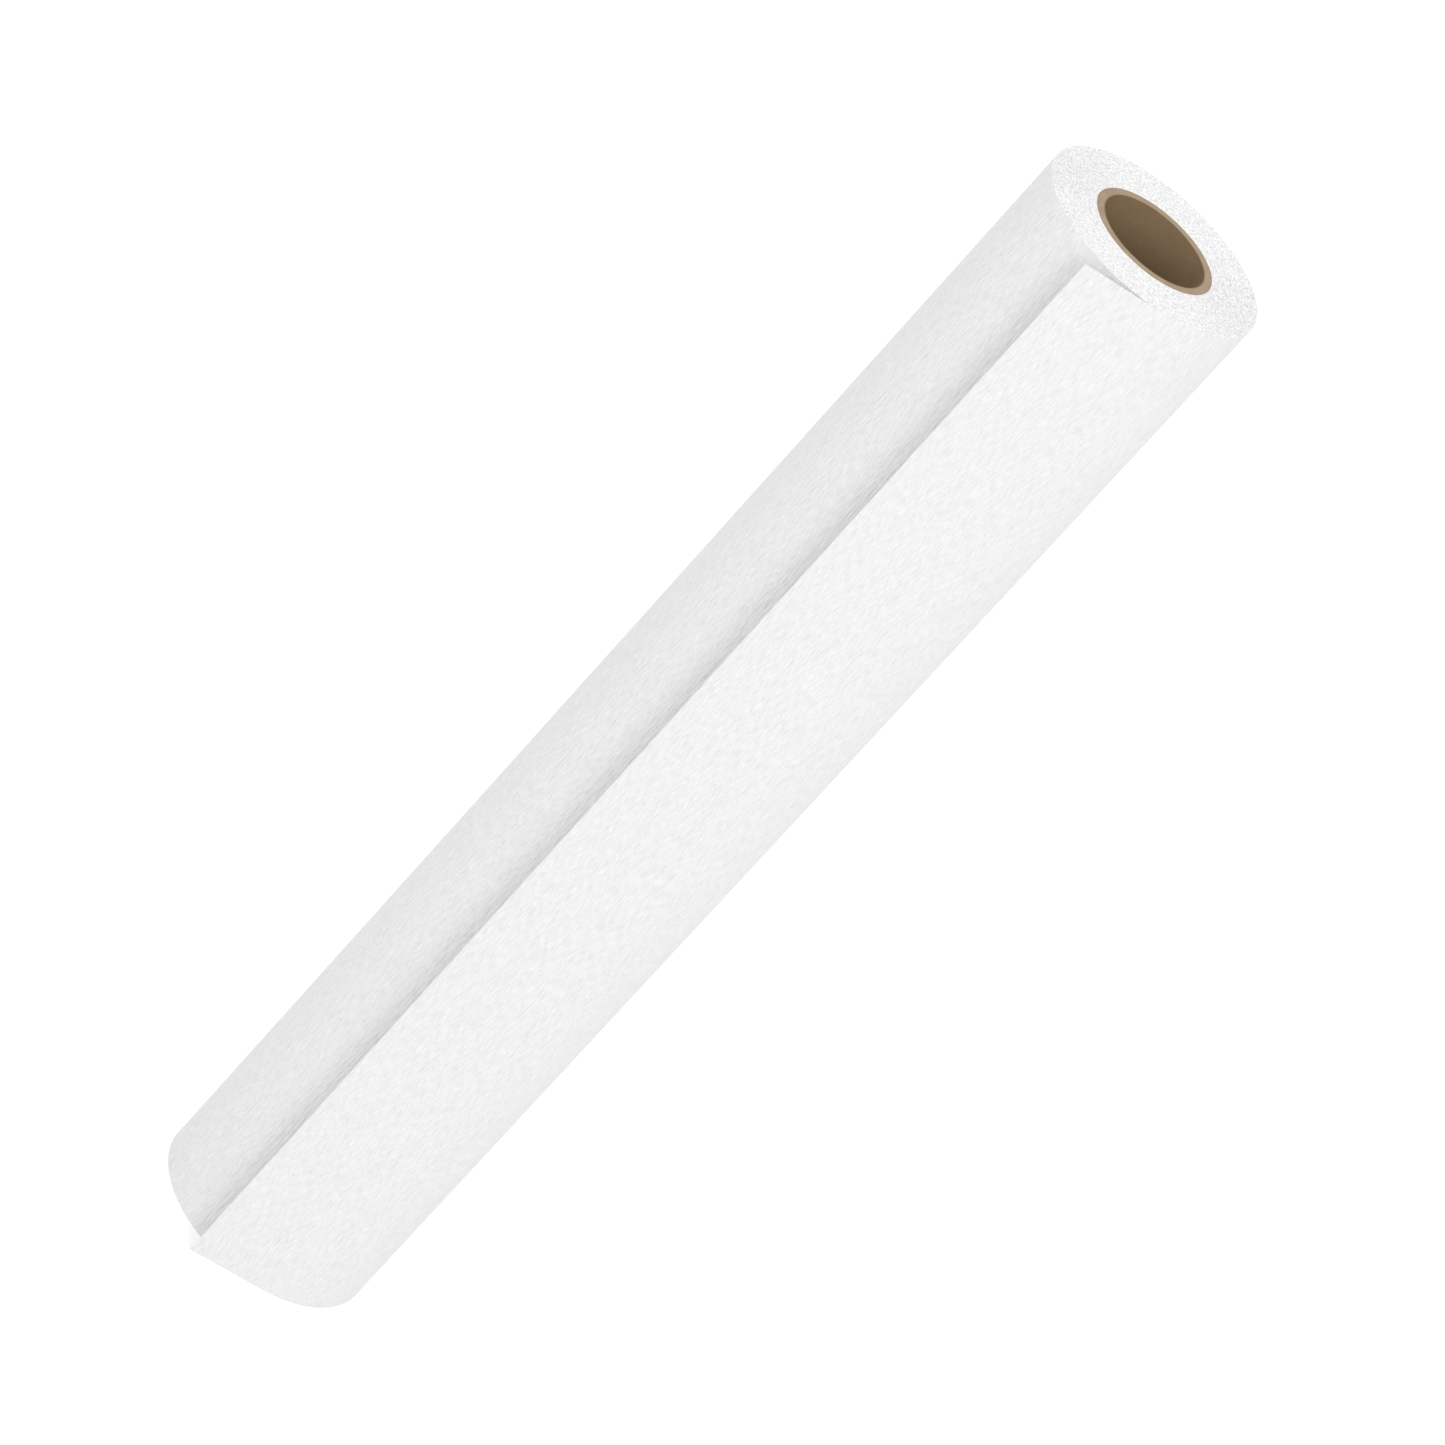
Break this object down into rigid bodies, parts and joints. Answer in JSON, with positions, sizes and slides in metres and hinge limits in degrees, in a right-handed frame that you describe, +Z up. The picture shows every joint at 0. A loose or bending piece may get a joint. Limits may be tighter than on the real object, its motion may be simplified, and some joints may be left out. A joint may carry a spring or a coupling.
{
  "type": "backdrop paper roll",
  "caption": "Wide sheet of seamless background paper wound on an open paperboard core, with a springy free end that lifts and curls.",
  "frame": {"origin": "centre of the core's bore at the lower end face, with the roll standing on that end", "axes": "+Z up along the core's axis; -Y towards the line where the free end leaves the roll; -X the way the free end runs"},
  "size_m": [0.1113, 0.1115, 0.6604],
  "materials": {
    "core_board": "matte kraft",
    "sheet_paper": "matte white, fine fibre",
    "tape": "translucent matte"
  },
  "bodies": {
    "roll": {"core_liner_ply": "core_board", "core_body_ply_1": "core_board", "core_body_ply_2": "core_board", "core_body_ply_3": "core_board", "core_body_ply_4": "core_board", "core_body_ply_5": "core_board", "core_outer_ply": "core_board", "tail_tape_1": "tape", "tail_tape_2": "tape", "tail_tape_3": "tape", "inner_turn": "sheet_paper", "wound_turns": "sheet_paper", "outer_turn": "sheet_paper"},
    "free_end_root": {"free_end_root": "sheet_paper"},
    "free_end_middle": {"free_end_middle": "sheet_paper"},
    "free_end_tip": {"free_end_tip": "sheet_paper"}
  },
  "joints": [
    {"name": "free_end_lift", "type": "hinge", "parent": "roll", "child": "free_end_root", "pos_m": [0, -0.05578, 0.3302], "axis": [0, 0, 1], "range_deg": [0, 60], "stiffness_Nm_per_rad": 0.1},
    {"name": "free_end_curl", "type": "hinge", "parent": "free_end_root", "child": "free_end_middle", "pos_m": [-0.0135, -0.05568, 0.3302], "axis": [0, 0, 1], "range_deg": [-19, 30], "stiffness_Nm_per_rad": 0.1},
    {"name": "free_end_tip_curl", "type": "hinge", "parent": "free_end_middle", "child": "free_end_tip", "pos_m": [-0.027, -0.05568, 0.3302], "axis": [0, 0, 1], "range_deg": [-19, 30], "stiffness_Nm_per_rad": 0.1}
  ],
  "couplings": [
    {"joint": "free_end_tip_curl", "follows": "free_end_curl", "ratio": 1}
  ]
}
